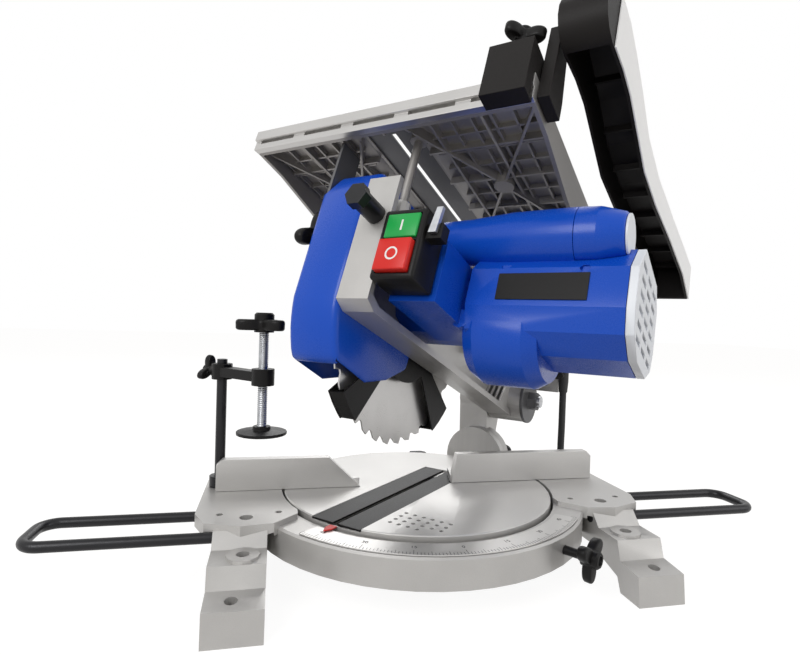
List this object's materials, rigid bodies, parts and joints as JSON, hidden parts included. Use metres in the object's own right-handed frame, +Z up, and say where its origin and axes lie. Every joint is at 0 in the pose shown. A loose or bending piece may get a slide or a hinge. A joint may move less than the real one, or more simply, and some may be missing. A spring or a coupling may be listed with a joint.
{
  "type": "miter saw",
  "caption": "Miter saw with a swivelling turntable, tilting and chopping head, blade guards and a tilted upper saw table with sliding fence block and guard hood.",
  "frame": {"origin": "on the turntable's pivot axis at the level of the bench; the mount turntable_axis marks it on the pivot's underside", "axes": "+X right along the fence, +Y to the back, +Z up; at rest the turntable is at its left 45 degree stop"},
  "size_m": [0.756, 0.5247, 0.5389],
  "materials": {
    "cast": "sand-cast, satin grey",
    "bright_cast": "machined, bright",
    "dark_cast": "cast, darker grey",
    "blue": "smooth moulded blue",
    "black": "moulded black",
    "rod": "black oxide",
    "steel": "zinc-plated steel",
    "blade": "ground steel",
    "white": "pale grey moulding",
    "green": "green button",
    "red": "red button",
    "rubber": "flexible black lead",
    "red_mark": "red pointer"
  },
  "bodies": {
    "base": {"base_casting": "cast", "fence_left": "cast", "fence_right": "cast", "fence_left_screw_inner": "rod", "fence_left_screw_outer": "rod", "fence_right_screw_inner": "rod", "fence_right_screw_outer": "rod", "angle_scale": "steel", "clamp_post": "rod", "turntable_bolt": "steel"},
    "bar_left": {"extension_bar_left": "rod"},
    "bar_right": {"extension_bar_right": "rod"},
    "mitre_lock": {"mitre_lock_knob": "black"},
    "clamp_arm": {"clamp_arm": "rod"},
    "clamp_wing": {"clamp_wing_knob": "black"},
    "clamp_pad": {"clamp_pad": "black"},
    "clamp_screw": {"clamp_screw": "steel", "clamp_knob": "black"},
    "turn": {"turntable": "cast", "kerf_plate_left": "black", "kerf_plate_right": "black", "angle_pointer": "red_mark", "lead_guide_rod": "rod", "strain_relief": "black", "mains_lead": "rubber", "lead_coil": "rubber", "lead_tie": "black", "mains_plug": "black"},
    "tilt_lock": {"tilt_lock_knob": "black"},
    "tilt": {"tilt_bracket": "cast", "hinge_shaft": "steel"},
    "depth_stop": {"depth_stop_knob": "black"},
    "head": {"head_arm": "cast", "blade_housing": "blue", "motor_housing": "blue", "motor_end_grille": "white", "handle_shoulder": "blue", "handle_end_disc": "white", "blank_plate": "black", "switch_box": "black", "arm_stop_post": "rod", "hinge_end_cap": "dark_cast"},
    "start_button": {"start_button": "green"},
    "stop_button": {"stop_button": "red"},
    "release_lever": {"release_lever": "steel"},
    "blade": {"saw_blade": "blade", "blade_arbor": "steel"},
    "lower_guard": {"lower_guard": "black"},
    "height_lock": {"height_lock_knob": "black"},
    "table": {"upper_table": "bright_cast", "table_rail": "bright_cast", "table_insert": "dark_cast", "height_strap": "black", "hood_bracket": "black", "hood_bolt": "steel"},
    "block": {"fence_block": "black", "rip_fence": "bright_cast"},
    "block_knob": {"fence_block_knob": "black"},
    "hood": {"guard_hood": "black", "hood_side_plate": "white"}
  },
  "joints": [
    {"name": "mitre", "type": "hinge", "parent": "base", "child": "turn", "pos_m": [0, 0, 0.0653], "axis": [0, 0, 1], "range_deg": [0, 90]},
    {"name": "tilt", "type": "hinge", "parent": "turn", "child": "tilt", "pos_m": [0.11879, 0.11879, 0.0653], "axis": [-0.7071, -0.7071, 0], "range_deg": [0, 7]},
    {"name": "chop", "type": "hinge", "parent": "tilt", "child": "head", "pos_m": [0.13789, 0.13789, 0.147], "axis": [-0.7071, 0.7071, 0], "range_deg": [-17, 14]},
    {"name": "spindle", "type": "hinge", "parent": "head", "child": "blade", "pos_m": [-0.02547, -0.02547, 0.24498], "axis": [0.7071, -0.7071, 0], "continuous": true},
    {"name": "guard_swing", "type": "hinge", "parent": "head", "child": "lower_guard", "pos_m": [-0.02547, -0.02547, 0.24498], "axis": [0.7071, -0.7071, 0], "range_deg": [-74, 91]},
    {"name": "start_press", "type": "slide", "parent": "head", "child": "start_button", "axis": [0.6556, 0.6556, -0.3746], "range_m": [0, 0.004], "stiffness_N_per_m": 300, "springref_m": -0.003},
    {"name": "stop_press", "type": "slide", "parent": "head", "child": "stop_button", "axis": [0.6556, 0.6556, -0.3746], "range_m": [0, 0.004], "stiffness_N_per_m": 300, "springref_m": -0.003},
    {"name": "release_swing", "type": "hinge", "parent": "head", "child": "release_lever", "pos_m": [-0.0422, -0.18009, 0.33243], "axis": [0.6556, 0.6556, -0.3746], "range_deg": [-20, 30]},
    {"name": "bar_left_slide", "type": "slide", "parent": "base", "child": "bar_left", "axis": [-1, 0, 0], "range_m": [-0.004, 0.02]},
    {"name": "bar_right_slide", "type": "slide", "parent": "base", "child": "bar_right", "axis": [1, 0, 0], "range_m": [-0.004, 0.02]},
    {"name": "mitre_lock_turn", "type": "hinge", "parent": "base", "child": "mitre_lock", "pos_m": [0, 0, 0.046], "axis": [0.5736, -0.8192, 0], "range_deg": [0, 120]},
    {"name": "tilt_lock_turn", "type": "hinge", "parent": "turn", "child": "tilt_lock", "pos_m": [0, 0, 0.0653], "axis": [0.7071, 0.7071, 0], "range_deg": [0, 120]},
    {"name": "depth_stop_turn", "type": "hinge", "parent": "tilt", "child": "depth_stop", "pos_m": [0.18455, 0.05303, 0.186], "axis": [-0.7071, -0.7071, 0], "range_deg": [0, 120]},
    {"name": "height_lock_turn", "type": "hinge", "parent": "head", "child": "height_lock", "pos_m": [-0.08356, -0.08356, 0.33824], "axis": [-0.7071, 0.7071, 0], "range_deg": [0, 120]},
    {"name": "block_lock_turn", "type": "hinge", "parent": "block", "child": "block_knob", "pos_m": [0.02975, -0.1698, 0.46101], "axis": [0.2649, 0.2649, 0.9272], "range_deg": [0, 120]},
    {"name": "clamp_arm_slide", "type": "slide", "parent": "base", "child": "clamp_arm", "axis": [0, 0, 1], "range_m": [-0.03, 0]},
    {"name": "clamp_wing_turn", "type": "hinge", "parent": "clamp_arm", "child": "clamp_wing", "pos_m": [-0.22, 0.02, 0.1925], "axis": [-0.6402, 0.7682, 0], "range_deg": [0, 120]},
    {"name": "clamp_pad_slide", "type": "slide", "parent": "clamp_arm", "child": "clamp_pad", "axis": [0, 0, 1], "range_m": [-0.03, 0.03]},
    {"name": "clamp_screw_turn", "type": "hinge", "parent": "clamp_pad", "child": "clamp_screw", "pos_m": [-0.175, -0.034, 0.24], "axis": [0, 0, 1], "range_deg": [-3600, 3600]},
    {"name": "table_lift", "type": "slide", "parent": "head", "child": "table", "axis": [0.2649, 0.2649, 0.9272], "range_m": [-0.038, 0]},
    {"name": "block_slide", "type": "slide", "parent": "table", "child": "block", "axis": [0.7071, -0.7071, 0], "range_m": [-0.25, 0]},
    {"name": "hood_swing", "type": "hinge", "parent": "table", "child": "hood", "pos_m": [0.08032, -0.16858, 0.51093], "axis": [0.7071, -0.7071, 0], "range_deg": [0, 75]}
  ],
  "couplings": [
    {"joint": "guard_swing", "follows": "chop", "ratio": -5.25}
  ]
}
